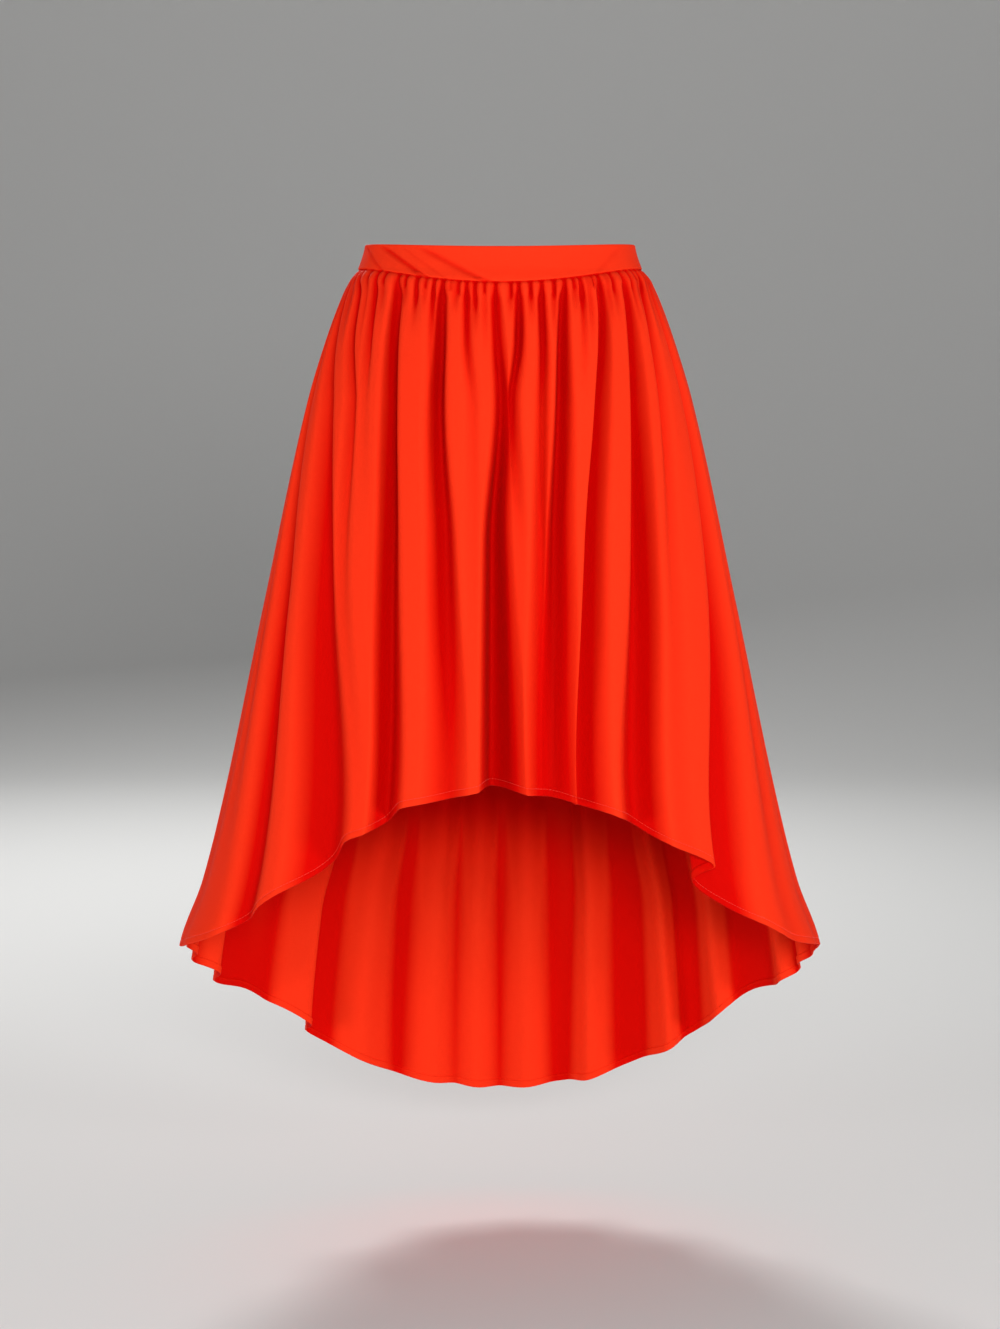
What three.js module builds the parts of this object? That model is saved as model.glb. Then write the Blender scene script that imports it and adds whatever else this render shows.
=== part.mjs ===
// High-low skirt: a gathered skirt, short at the front and long at the back, on a shaped
// waistband with an elasticated back. Millimetres, +Z up, the front faces -Y, and the
// origin is at the centre of the waist.
import * as THREE from "three";

// Cloth
const SKIRT_WALL = 2;
const BAND_WALL = 3;
const SEAM_GAP = 0.3;
const DEGREE = Math.PI / 180;

// The garment's outline without folds, a row for each height: half its width, and how far
// it reaches to the front and to the back
const OUTLINE = [
  { z: 20, side: 134, front: 97, back: 97 },
  { z: -8, side: 141.5, front: 101, back: 103 },
  { z: -22, side: 151.5, front: 107, back: 111 },
  { z: -38, side: 159, front: 112, back: 119 },
  { z: -77, side: 173.5, front: 124, back: 136 },
  { z: -137, side: 192, front: 138, back: 153 },
  { z: -337, side: 237, front: 169, back: 192 },
  { z: -541, side: 281.5, front: 201, back: 229 },
  { z: -623, side: 303, front: 214, back: 243 },
  { z: -690, side: 327, front: 228, back: 257 },
  { z: -920, side: 352, front: 245, back: 283 },
];

// Heights round the body, by bearing from the centre front towards +X
const BAND_TOP_Z = 16;
const BAND_TOP_DIP = 6;
const SEAM_Z = -8;
const SEAM_DIP_FRONT = 16;
const SEAM_DIP_BACK = 2;
const HEM = [
  { bearing: -90, z: -690 },
  { bearing: -80, z: -682 },
  { bearing: -68, z: -668 },
  { bearing: -60, z: -654 },
  { bearing: -51, z: -624 },
  { bearing: -41, z: -593 },
  { bearing: -37, z: -576 },
  { bearing: -33, z: -557 },
  { bearing: -25, z: -541 },
  { bearing: -20, z: -520 },
  { bearing: -12, z: -513 },
  { bearing: -2, z: -503 },
  { bearing: 8, z: -509 },
  { bearing: 16, z: -517 },
  { bearing: 24, z: -529 },
  { bearing: 32, z: -552 },
  { bearing: 47, z: -586 },
  { bearing: 51, z: -612 },
  { bearing: 56, z: -641 },
  { bearing: 68, z: -669 },
  { bearing: 90, z: -690 },
  { bearing: 105, z: -724 },
  { bearing: 116, z: -756 },
  { bearing: 125, z: -770 },
  { bearing: 132, z: -792 },
  { bearing: 139, z: -824 },
  { bearing: 146, z: -849 },
  { bearing: 153, z: -872 },
  { bearing: 165, z: -901 },
  { bearing: 180, z: -912 },
  { bearing: 195, z: -901 },
  { bearing: 207, z: -872 },
  { bearing: 214, z: -849 },
  { bearing: 221, z: -824 },
  { bearing: 228, z: -792 },
  { bearing: 235, z: -770 },
  { bearing: 244, z: -756 },
  { bearing: 255, z: -724 },
  { bearing: 270, z: -690 },
];

// Folds of the front and back panels: the valley's bearing and depth at six heights, from
// the seam to the hem, half its width on either side, at the seam and at the hem, its lean,
// which is how far its bottom shifts towards +bearing for each millimetre of depth, and how
// crisp its left and right edges are, from 0 to 1
const FOLD_HEIGHTS = [0, 0.045, 0.12, 0.24, 0.52, 1];
const FRONT_FOLDS = [
  {
    bearing: [-87, -85.5, -83, -79, -67, -57], depth: [1, 3.5, 7, 11, 16, 20],
    left: [9, 20], right: [9, 26], lean: -0.2, crisp: [0, 0.5],
  },
  {
    bearing: [-80, -78, -72, -62, -51, -38.5], depth: [1.4, 7, 11, 15, 21, 26],
    left: [7, 36], right: [7, 30], lean: 0.6, crisp: [0.5, 0.1],
  },
  {
    bearing: [-71.5, -63, -58, -49, -42.5, -30], depth: [1.4, 9, 13, 12, 5, 1],
    left: [6.5, 14], right: [6.5, 16], lean: 0, crisp: [0.3, 0.3],
  },
  {
    bearing: [-55, -51.5, -48, -43, -35.5, -26.5], depth: [1.4, 9, 10, 2, 0, 0],
    left: [6, 10], right: [6, 10], lean: 0, crisp: [0.5, 0.5],
  },
  {
    bearing: [-41.5, -39.5, -38, -35, -30, -24.5], depth: [1.4, 11, 18, 24, 28, 28],
    left: [6.5, 16], right: [7, 18], lean: 0.5, crisp: [1, 1],
  },
  {
    bearing: [-24.5, -24, -22.5, -20.5, -17.5, -13.5], depth: [1.4, 6, 5, 2, 0, 0],
    left: [5, 10], right: [5, 10], lean: 0, crisp: [0, 0],
  },
  {
    bearing: [-21, -20.5, -19.5, -18.5, -14, -10.5], depth: [1.4, 10, 18, 24, 24, 14],
    left: [6, 28], right: [6.5, 20], lean: 0, crisp: [0.5, 0.6],
  },
  {
    bearing: [-12, -11.5, -10.5, -8, -7, -6], depth: [1.4, 8, 9, 5, 2, 0],
    left: [5.5, 12], right: [5.5, 12], lean: 0, crisp: [0.3, 0.3],
  },
  {
    bearing: [-1.7, -1.5, -1, 0, -2.4, -2.2], depth: [1.4, 8, 12, 22, 38, 44],
    left: [6, 9], right: [6, 40], lean: 0, crisp: [1, 0.5],
  },
  {
    bearing: [6.5, 6.5, 6, 3.6, 4.5, 4], depth: [1.4, 9, 16, 16, 4, 0],
    left: [6, 14], right: [6, 14], lean: 0, crisp: [0.5, 0.5],
  },
  {
    bearing: [15, 14.5, 14, 12.5, 10.5, 8.5], depth: [1.4, 10, 13, 13, 13, 13],
    left: [5.5, 20], right: [5.5, 17], lean: 0, crisp: [0.3, 0],
  },
  {
    bearing: [24, 22.5, 20.5, 18.5, 14.5, 11.5], depth: [1.4, 11, 18, 24, 28, 26],
    left: [6, 24], right: [6, 28], lean: 0, crisp: [0, 0.6],
  },
  {
    bearing: [30.5, 30, 28, 25, 19.5, 14.5], depth: [1.4, 6, 4, 0, 0, 0],
    left: [5, 8], right: [5, 8], lean: 0, crisp: [0, 0],
  },
  {
    bearing: [39.5, 38.5, 35.5, 30.5, 23, 17.5], depth: [1.4, 11, 17, 22, 26, 26],
    left: [6, 14], right: [7, 28], lean: -0.1, crisp: [0.4, 0.6],
  },
  {
    bearing: [54, 52.5, 49, 44.5, 37.5, 28.5], depth: [1.4, 11, 17, 24, 30, 28],
    left: [6.5, 20], right: [7, 32], lean: 0.2, crisp: [0.4, 0.6],
  },
  {
    bearing: [69, 65, 60.5, 56, 47.5, 39], depth: [1.4, 9, 11, 9, 4, 2],
    left: [6, 16], right: [6, 16], lean: 0, crisp: [0.3, 0.3],
  },
  {
    bearing: [80, 76, 74, 73, 66.5, 50], depth: [1.4, 6, 9, 15, 26, 32],
    left: [7, 16], right: [8, 32], lean: -0.9, crisp: [0.8, 0],
  },
];
const BACK_FOLDS = [
  {
    bearing: [94, 95, 96, 98, 101, 104], depth: [1.2, 2, 3, 5, 8, 9],
    left: [7, 20], right: [7, 22], lean: 0, crisp: [0, 0],
  },
  {
    bearing: [101, 103, 105.5, 108, 111, 113], depth: [1.4, 4, 5, 7, 13, 18],
    left: [7, 16], right: [7, 32], lean: -0.3, crisp: [0.7, 0.3],
  },
  {
    bearing: [112, 115, 119, 124, 131, 134.5], depth: [1.4, 4.5, 6, 10, 18, 23],
    left: [7, 18], right: [7, 30], lean: -0.4, crisp: [0.7, 0.5],
  },
  {
    bearing: [125, 128, 133, 138, 145.5, 147], depth: [1.4, 5, 7, 12, 20, 26],
    left: [7, 14], right: [7, 30], lean: -0.4, crisp: [0.9, 0.5],
  },
  {
    bearing: [138, 141, 145.5, 150.5, 158.5, 162.5], depth: [1.4, 5, 7, 12, 18, 21],
    left: [7, 27], right: [7, 28], lean: 0, crisp: [0.5, 0.5],
  },
  {
    bearing: [150, 152, 155, 159, 165, 168], depth: [1.4, 4, 5, 5, 1, 0],
    left: [7, 14], right: [7, 14], lean: 0, crisp: [0, 0],
  },
  {
    bearing: [163, 164.5, 167, 169.5, 173.5, 175], depth: [1.4, 4, 6, 9, 14, 16],
    left: [7, 30], right: [7, 24], lean: 0, crisp: [0.5, 0.5],
  },
  {
    bearing: [177, 178, 179.5, 181.5, 184, 184.5], depth: [1.4, 4.5, 6, 9, 14, 15],
    left: [7, 20], right: [7, 20], lean: 0, crisp: [0.5, 0.4],
  },
  {
    bearing: [191, 190.5, 190, 191, 192.5, 193], depth: [1.4, 4.5, 6, 10, 14, 16],
    left: [7, 24], right: [7, 24], lean: 0, crisp: [0.4, 0.5],
  },
  {
    bearing: [206, 205, 204, 203.5, 204.5, 206], depth: [1.4, 5, 7, 12, 18, 21],
    left: [7, 34], right: [7, 32], lean: 0, crisp: [0.6, 0.6],
  },
  {
    bearing: [220, 220, 219.5, 219, 219, 222], depth: [1.4, 5, 7, 13, 21, 27],
    left: [7, 16], right: [7, 44], lean: -0.4, crisp: [0.9, 0.6],
  },
  {
    bearing: [235, 234, 232.5, 231.5, 231.5, 233], depth: [1.4, 4.5, 6, 8, 8, 3],
    left: [7, 20], right: [7, 22], lean: 0, crisp: [0, 0.3],
  },
  {
    bearing: [249, 248, 247, 246, 247, 250], depth: [1.4, 4.5, 6, 10, 14, 18],
    left: [7, 18], right: [7, 28], lean: -0.3, crisp: [0.6, 0.4],
  },
  {
    bearing: [260, 259.5, 259, 259, 259.5, 261], depth: [1.4, 3, 4, 6, 8, 9],
    left: [7, 20], right: [7, 22], lean: 0, crisp: [0, 0],
  },
  {
    bearing: [266, 266, 266, 266, 266, 266], depth: [1.2, 2, 3, 4, 4, 4],
    left: [7, 14], right: [7, 14], lean: 0, crisp: [0, 0],
  },
];

// Short gathers between the folds: the bearing at the seam, the greatest depth, and the
// share of the panel's length down to which each reaches
const FRONT_GATHERS = [
  { bearing: -84, depth: 2, reach: 0.12 },
  { bearing: -75.5, depth: 3, reach: 0.16 },
  { bearing: -62, depth: 3.5, reach: 0.18 },
  { bearing: -49.5, depth: 3, reach: 0.1 },
  { bearing: -37.5, depth: 3, reach: 0.08 },
  { bearing: -32, depth: 4, reach: 0.12 },
  { bearing: -28, depth: 2.5, reach: 0.08 },
  { bearing: -16, depth: 3, reach: 0.08 },
  { bearing: -9, depth: 4, reach: 0.13 },
  { bearing: -5.5, depth: 3, reach: 0.16 },
  { bearing: 3.5, depth: 3, reach: 0.09 },
  { bearing: 11, depth: 3.5, reach: 0.1 },
  { bearing: 20, depth: 3.5, reach: 0.14 },
  { bearing: 28, depth: 3, reach: 0.08 },
  { bearing: 34, depth: 3.5, reach: 0.16 },
  { bearing: 43.5, depth: 3, reach: 0.12 },
  { bearing: 47, depth: 3.5, reach: 0.1 },
  { bearing: 60, depth: 3.5, reach: 0.12 },
  { bearing: 64.5, depth: 3, reach: 0.1 },
  { bearing: 74.5, depth: 3, reach: 0.14 },
  { bearing: 84, depth: 2, reach: 0.12 },
];
const BACK_GATHERS = [
  { bearing: 94, depth: 2, reach: 0.1 },
  { bearing: 102.5, depth: 3, reach: 0.12 },
  { bearing: 111.5, depth: 3.5, reach: 0.1 },
  { bearing: 116.5, depth: 3, reach: 0.14 },
  { bearing: 125.5, depth: 3.5, reach: 0.13 },
  { bearing: 129.5, depth: 3, reach: 0.09 },
  { bearing: 138.5, depth: 3.5, reach: 0.14 },
  { bearing: 143, depth: 3, reach: 0.1 },
  { bearing: 151.5, depth: 3.5, reach: 0.12 },
  { bearing: 156.5, depth: 3, reach: 0.15 },
  { bearing: 165.5, depth: 3, reach: 0.1 },
  { bearing: 170.5, depth: 3.5, reach: 0.13 },
  { bearing: 180.5, depth: 3, reach: 0.15 },
  { bearing: 185.5, depth: 3.5, reach: 0.1 },
  { bearing: 196, depth: 3.5, reach: 0.14 },
  { bearing: 201, depth: 3, reach: 0.1 },
  { bearing: 210.5, depth: 3.5, reach: 0.12 },
  { bearing: 215.5, depth: 3, reach: 0.14 },
  { bearing: 225, depth: 3.5, reach: 0.1 },
  { bearing: 230, depth: 3, reach: 0.15 },
  { bearing: 240, depth: 3.5, reach: 0.12 },
  { bearing: 245, depth: 3, reach: 0.1 },
  { bearing: 256, depth: 3, reach: 0.13 },
  { bearing: 266, depth: 2, reach: 0.1 },
];
const GATHER_HALF_WIDTH = 6;
const GATHER_AT_SEAM = 0.4;
const GATHER_PEAK = 0.35;

// Where a panel's mesh has its rings, as shares of its length, and how many columns it has.
// The folds are first drawn through finer points and eased, so that no fold is creased
// tighter than cloth hangs.
const PANEL_RINGS = [0, 0.018, 0.045, 0.08, 0.125, 0.19, 0.29, 0.43, 0.61, 0.8, 1];
const PANEL_COLUMNS = 168;
const FINE_POINTS_TO_A_FOLD = 56;
const EASING_PASSES = 60;
const EASING_KEPT = 0.5;
const HIP_RING = 5;
const ROUNDING = 1e-6;

// How much two folds that run into each other add up
const MERGED_DEPTH = 0.35;

// Drag creases pressed into the front band, each from an upper to a lower bearing
const BAND_CREASES = [
  { top: -53, bottom: -28, depth: 1.3, half: 3.2 },
  { top: -63, bottom: -46, depth: 0.8, half: 3 },
  { top: -28, bottom: -5, depth: 0.8, half: 4.5 },
  { top: -42, bottom: -17, depth: 0.6, half: 4 },
  { top: 62, bottom: 49, depth: 0.6, half: 4 },
];
const BAND_FRONT_COLUMNS = 60;
const BAND_FRONT_RINGS = 4;

// Ruching of the elasticated back band
const RUCHES = 34;
const RUCHE_DEPTH = 1.4;
const RUCHE_COLUMNS = 4;
const RUCHE_RINGS = 2;
const RUCHE_SIDE_FADE = 8;

// A smooth value between rows that are sorted by the key, with flat ends
function between(rows, key, value, at) {
  const last = rows.length - 1;
  if (at <= rows[0][key]) return rows[0][value];
  if (at >= rows[last][key]) return rows[last][value];
  let i = 0;
  while (at > rows[i + 1][key]) i += 1;
  const slope = (k) => {
    if (k <= 0 || k >= last) return 0;
    const before = (rows[k][value] - rows[k - 1][value]) / (rows[k][key] - rows[k - 1][key]);
    const after = (rows[k + 1][value] - rows[k][value]) / (rows[k + 1][key] - rows[k][key]);
    return before * after <= 0 ? 0 : (2 * before * after) / (before + after);
  };
  const span = rows[i + 1][key] - rows[i][key];
  const t = (at - rows[i][key]) / span;
  const rise = rows[i + 1][value] - rows[i][value];
  const first = slope(i) * span;
  const second = slope(i + 1) * span;
  const start = rows[i][value];
  return start + t * first + t * t * (3 * rise - 2 * first - second) + t ** 3 * (first + second - 2 * rise);
}

const RISING_OUTLINE = [...OUTLINE].reverse();
const outlineAt = (z, name) => between(RISING_OUTLINE, "z", name, z);

const hemZ = (bearing) => between(HEM, "bearing", "z", bearing);
const seamZ = (bearing) => {
  const facing = Math.cos(bearing * DEGREE);
  return SEAM_Z - (facing > 0 ? SEAM_DIP_FRONT * facing ** 3 : SEAM_DIP_BACK * facing ** 2);
};
const bandTopZ = (bearing) => BAND_TOP_Z - BAND_TOP_DIP * Math.max(0, Math.cos(bearing * DEGREE)) ** 2;

// A point of the unfolded outline, and the level directions across and along it there
function outlinePoint(bearing, z) {
  const sine = Math.sin(bearing * DEGREE);
  const cosine = Math.cos(bearing * DEGREE);
  const side = outlineAt(z, "side");
  const reach = outlineAt(z, cosine > 0 ? "front" : "back");
  return {
    point: new THREE.Vector3(side * sine, -reach * cosine, z),
    inward: new THREE.Vector3(-sine / side, cosine / reach, 0).normalize(),
    along: new THREE.Vector3(side * cosine, reach * sine, 0).normalize(),
    perDegree: Math.hypot(side * cosine, reach * sine) * DEGREE,
  };
}

const hump = (x) => (Math.abs(x) >= 1 ? 0 : 0.5 + 0.5 * Math.cos(Math.PI * x));
const halfRound = (x) => (Math.abs(x) >= 1 ? 0 : Math.cos((Math.PI / 2) * x));

// A fold's column of values, at a share of the panel's length
function alongFold(values, share) {
  const rows = FOLD_HEIGHTS.map((height, i) => ({ height, value: values[i] }));
  return between(rows, "height", "value", share);
}

// The lines that run down a panel between its folds: each keeps its share of the way from
// one fold to the next
function panelLines(folds, from, to) {
  const fixed = (bearing) => ({ bearing: FOLD_HEIGHTS.map(() => bearing) });
  const fences = [fixed(from), ...folds, fixed(to)];
  const lines = [];
  for (let k = 0; k + 1 < fences.length; k += 1) {
    for (let i = 0; i < FINE_POINTS_TO_A_FOLD; i += 1) {
      lines.push({ left: fences[k], right: fences[k + 1], share: i / FINE_POINTS_TO_A_FOLD });
    }
  }
  const last = fences.length - 1;
  lines.push({ left: fences[last - 1], right: fences[last], share: 1 });
  return lines;
}

function lineBearing(line, height) {
  const left = alongFold(line.left.bearing, height);
  return left + (alongFold(line.right.bearing, height) - left) * line.share;
}

// How deep the folds and gathers push one point in, and how far they shift it sideways
function pushAt(bearing, seamBearing, share, perDegree, folds, gathers) {
  let depth = 0;
  let shift = 0;
  for (const fold of folds) {
    const away = (bearing - alongFold(fold.bearing, share)) * perDegree;
    const [atSeam, atHem] = away < 0 ? fold.left : fold.right;
    const across = away / (atSeam + (atHem - atSeam) * share);
    const crisp = fold.crisp[away < 0 ? 0 : 1];
    const profile = hump(across) * (1 - crisp) + halfRound(across) * crisp;
    const here = alongFold(fold.depth, share) * profile;
    depth = Math.max(depth, here) + MERGED_DEPTH * Math.min(depth, here);
    shift += here * fold.lean * share;
  }
  for (const gather of gathers) {
    const away = (seamBearing - gather.bearing) * perDegree;
    const peak = gather.reach * GATHER_PEAK;
    const rise = GATHER_AT_SEAM + (1 - GATHER_AT_SEAM) * Math.min(1, share / peak);
    const fade = share < peak ? 1 : hump((share - peak) / (gather.reach - peak));
    depth = Math.max(depth, gather.depth * rise * fade * hump(away / GATHER_HALF_WIDTH));
  }
  return { depth, shift };
}

// One point of a panel's outer face, at a share of the way down its line
function panelPoint(line, share, folds, gathers, from, to) {
  const seamBearing = lineBearing(line, 0);
  const top = seamZ(seamBearing) - SEAM_GAP / 2;
  const z = top + share * (hemZ(lineBearing(line, 1)) - top);
  const gap = SEAM_GAP / 2 / outlinePoint(from, z).perDegree;
  const wanted = lineBearing(line, share);
  const bearing = wanted + gap * (1 - (2 * (wanted - from)) / (to - from));
  const { point, inward, along, perDegree } = outlinePoint(bearing, z);
  const { depth, shift } = pushAt(bearing, seamBearing, share, perDegree, folds, gathers);
  return point.addScaledVector(inward, depth).addScaledVector(along, shift);
}

// Eases a row of points towards their neighbours, with the two ends kept
function eased(points, passes) {
  let row = points;
  for (let pass = 0; pass < passes; pass += 1) {
    row = row.map((point, i) => {
      if (i === 0 || i === row.length - 1) return point;
      const neighbours = row[i - 1].clone().add(row[i + 1]);
      return neighbours.multiplyScalar((1 - EASING_KEPT) / 2).addScaledVector(point, EASING_KEPT);
    });
  }
  return row;
}

// How far along its own length each point of a row lies, from 0 to 1
function travelled(row) {
  const sums = [0];
  for (let i = 1; i < row.length; i += 1) sums.push(sums[i - 1] + row[i].distanceTo(row[i - 1]));
  return sums.map((sum) => sum / sums[sums.length - 1]);
}

// A closed wall from a grid of outer points, one row for each ring from the top down
function wallGeometry(rings, thickness) {
  const down = rings.length;
  const across = rings[0].length;
  const vertices = rings.flat();
  const inner = [];
  for (let r = 0; r < down; r += 1) {
    for (let c = 0; c < across; c += 1) {
      const before = rings[r][Math.max(c - 1, 0)];
      const after = rings[r][Math.min(c + 1, across - 1)];
      const above = rings[Math.max(r - 1, 0)][c];
      const below = rings[Math.min(r + 1, down - 1)][c];
      const sideways = after.clone().sub(before);
      const outward = below.clone().sub(above).cross(sideways).normalize();
      inner.push(rings[r][c].clone().addScaledVector(outward, -thickness));
    }
  }
  // The top and bottom edges are cut level, and the side edges square to the side seams
  for (const r of [0, down - 1]) {
    for (let c = 0; c < across; c += 1) inner[r * across + c].z = rings[r][c].z;
  }
  for (const c of [0, across - 1]) {
    for (let r = 0; r < down; r += 1) inner[r * across + c].y = rings[r][c].y;
  }
  const count = vertices.length;
  vertices.push(...inner);
  const faces = [];
  const quad = (a, b, c, d) => faces.push(a, b, c, a, c, d);
  const at = (r, c) => r * across + c;
  for (let r = 0; r + 1 < down; r += 1) {
    for (let c = 0; c + 1 < across; c += 1) {
      quad(at(r, c), at(r + 1, c), at(r + 1, c + 1), at(r, c + 1));
      quad(count + at(r, c), count + at(r, c + 1), count + at(r + 1, c + 1), count + at(r + 1, c));
    }
  }
  for (let c = 0; c + 1 < across; c += 1) {
    quad(at(0, c), at(0, c + 1), count + at(0, c + 1), count + at(0, c));
    const low = down - 1;
    quad(at(low, c + 1), at(low, c), count + at(low, c), count + at(low, c + 1));
  }
  for (let r = 0; r + 1 < down; r += 1) {
    const far = across - 1;
    quad(at(r + 1, 0), at(r, 0), count + at(r, 0), count + at(r + 1, 0));
    quad(at(r, far), at(r + 1, far), count + at(r + 1, far), count + at(r, far));
  }
  const geometry = new THREE.BufferGeometry();
  geometry.setAttribute("position", new THREE.Float32BufferAttribute(vertices.flatMap((v) => v.toArray()), 3));
  geometry.setIndex(faces);
  geometry.computeVertexNormals();
  return geometry;
}

// A panel's columns stand evenly along the cloth, by the mean of its hip and its hem
function skirtPanel(folds, gathers, from, to) {
  const lines = panelLines(folds, from, to);
  const fine = PANEL_RINGS.map((share) =>
    eased(
      lines.map((line) => panelPoint(line, share, folds, gathers, from, to)),
      EASING_PASSES,
    ),
  );
  const atHip = travelled(fine[HIP_RING]);
  const atHem = travelled(fine[fine.length - 1]);
  const chosen = [];
  for (let c = 0; c < PANEL_COLUMNS; c += 1) {
    const wanted = c / (PANEL_COLUMNS - 1);
    chosen.push(atHip.findIndex((hip, i) => (hip + atHem[i]) / 2 >= wanted - ROUNDING));
  }
  return wallGeometry(
    fine.map((row) => chosen.map((i) => row[i])),
    SKIRT_WALL,
  );
}

// One half of the waistband, with a function that gives how far its face is pressed in
function bandHalf(from, to, columns, ringCount, pressed) {
  const rings = [];
  for (let r = 0; r <= ringCount; r += 1) {
    const ring = [];
    for (let c = 0; c <= columns; c += 1) {
      const even = from + ((to - from) * c) / columns;
      const top = bandTopZ(even);
      const bottom = seamZ(even) + SEAM_GAP / 2;
      const share = r / ringCount;
      const z = top + (bottom - top) * share;
      const gap = SEAM_GAP / 2 / outlinePoint(from, z).perDegree;
      const bearing = even + gap * (1 - (2 * c) / columns);
      const { point, inward, perDegree } = outlinePoint(bearing, z);
      ring.push(point.addScaledVector(inward, pressed(bearing, share, perDegree)));
    }
    rings.push(ring);
  }
  return wallGeometry(rings, BAND_WALL);
}

function creased(bearing, share, perDegree) {
  let depth = 0;
  for (const crease of BAND_CREASES) {
    const line = crease.top + (crease.bottom - crease.top) * share;
    depth = Math.max(depth, crease.depth * hump(((bearing - line) * perDegree) / crease.half));
  }
  return depth;
}

function ruched(bearing) {
  const turn = ((bearing - 90) / 180) * RUCHES;
  const fade = Math.min(1, Math.min(bearing - 90, 270 - bearing) / RUCHE_SIDE_FADE);
  return RUCHE_DEPTH * fade * (0.5 - 0.5 * Math.cos(2 * Math.PI * turn));
}

const CLOTH_RED = 0xee2a10;
const CLOTH_ROUGHNESS = 0.62;

function clothPiece(name, geometry) {
  const material = new THREE.MeshStandardMaterial({
    color: CLOTH_RED,
    roughness: CLOTH_ROUGHNESS,
    metalness: 0,
  });
  const mesh = new THREE.Mesh(geometry, material);
  mesh.name = name;
  return mesh;
}

const skirt = new THREE.Group();
const waistband = new THREE.Group();
waistband.add(
  clothPiece("waistband_front", bandHalf(-90, 90, BAND_FRONT_COLUMNS, BAND_FRONT_RINGS, creased)),
  clothPiece("waistband_back", bandHalf(90, 270, RUCHES * RUCHE_COLUMNS, RUCHE_RINGS, ruched)),
);
skirt.add(
  waistband,
  clothPiece("skirt_front", skirtPanel(FRONT_FOLDS, FRONT_GATHERS, -90, 90)),
  clothPiece("skirt_back", skirtPanel(BACK_FOLDS, BACK_GATHERS, 90, 270)),
);

export default skirt;
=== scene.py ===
"""High-low skirt: the cloth, its folds and its sewing, dressed over the fixed frame.

Metres, +Z up, the front faces -Y. The tables are in millimetres and degrees.
"""

import math

import bmesh
import bpy
import numpy as np
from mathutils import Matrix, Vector


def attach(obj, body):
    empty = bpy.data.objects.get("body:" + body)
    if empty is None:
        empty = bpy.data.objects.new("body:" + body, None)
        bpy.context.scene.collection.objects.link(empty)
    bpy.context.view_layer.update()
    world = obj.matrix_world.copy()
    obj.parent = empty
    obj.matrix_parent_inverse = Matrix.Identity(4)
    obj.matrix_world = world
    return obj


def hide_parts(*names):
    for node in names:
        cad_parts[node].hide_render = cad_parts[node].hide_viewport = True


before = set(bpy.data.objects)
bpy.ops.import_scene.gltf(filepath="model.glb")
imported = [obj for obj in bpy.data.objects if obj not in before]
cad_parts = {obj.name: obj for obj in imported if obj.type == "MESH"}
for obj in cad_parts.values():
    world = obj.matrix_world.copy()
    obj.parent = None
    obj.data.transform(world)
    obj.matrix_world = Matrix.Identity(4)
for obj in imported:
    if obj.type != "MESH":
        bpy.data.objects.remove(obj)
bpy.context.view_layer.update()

MM = 0.001
DEGREE = math.pi / 180

# Cloth thicknesses and gaps, in millimetres
SEAM_GAP = 0.3
CLOTH_THICK = 0.8
IN_BAND_DEPTH = 1.3
HEM_THICK = 1.9
BAND_THICK = 2.8

# The garment's outline without folds, a row for each height in millimetres: half its width,
# and how far it reaches to the front and to the back
OUTLINE = [
    {"z": -920, "side": 352, "front": 245, "back": 283},
    {"z": -690, "side": 327, "front": 228, "back": 257},
    {"z": -623, "side": 303, "front": 214, "back": 243},
    {"z": -541, "side": 281.5, "front": 201, "back": 229},
    {"z": -337, "side": 237, "front": 169, "back": 192},
    {"z": -137, "side": 192, "front": 138, "back": 153},
    {"z": -77, "side": 173.5, "front": 124, "back": 136},
    {"z": -38, "side": 159, "front": 112, "back": 119},
    {"z": -22, "side": 151.5, "front": 107, "back": 111},
    {"z": -8, "side": 141.5, "front": 101, "back": 103},
    {"z": 20, "side": 134, "front": 97, "back": 97},
]

# Where each half of the skirt starts and ends, as a bearing from the centre front towards +X
FRONT_SPAN = (-90, 90)
BACK_SPAN = (90, 270)

# Heights round the skirt in millimetres, by bearing
BAND_TOP_Z = 16
BAND_TOP_DIP = 6
SEAM_Z = -8
SEAM_DIP_FRONT = 16
SEAM_DIP_BACK = 2
HEM = [
    {"bearing": -90, "z": -690},
    {"bearing": -80, "z": -682},
    {"bearing": -68, "z": -668},
    {"bearing": -60, "z": -654},
    {"bearing": -51, "z": -624},
    {"bearing": -41, "z": -593},
    {"bearing": -37, "z": -576},
    {"bearing": -33, "z": -557},
    {"bearing": -25, "z": -541},
    {"bearing": -20, "z": -520},
    {"bearing": -12, "z": -513},
    {"bearing": -2, "z": -503},
    {"bearing": 8, "z": -509},
    {"bearing": 16, "z": -517},
    {"bearing": 24, "z": -529},
    {"bearing": 32, "z": -552},
    {"bearing": 47, "z": -586},
    {"bearing": 51, "z": -612},
    {"bearing": 56, "z": -641},
    {"bearing": 68, "z": -669},
    {"bearing": 90, "z": -690},
    {"bearing": 105, "z": -724},
    {"bearing": 116, "z": -756},
    {"bearing": 125, "z": -770},
    {"bearing": 132, "z": -792},
    {"bearing": 139, "z": -824},
    {"bearing": 146, "z": -849},
    {"bearing": 153, "z": -872},
    {"bearing": 165, "z": -901},
    {"bearing": 180, "z": -912},
    {"bearing": 195, "z": -901},
    {"bearing": 207, "z": -872},
    {"bearing": 214, "z": -849},
    {"bearing": 221, "z": -824},
    {"bearing": 228, "z": -792},
    {"bearing": 235, "z": -770},
    {"bearing": 244, "z": -756},
    {"bearing": 255, "z": -724},
    {"bearing": 270, "z": -690},
]

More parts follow.
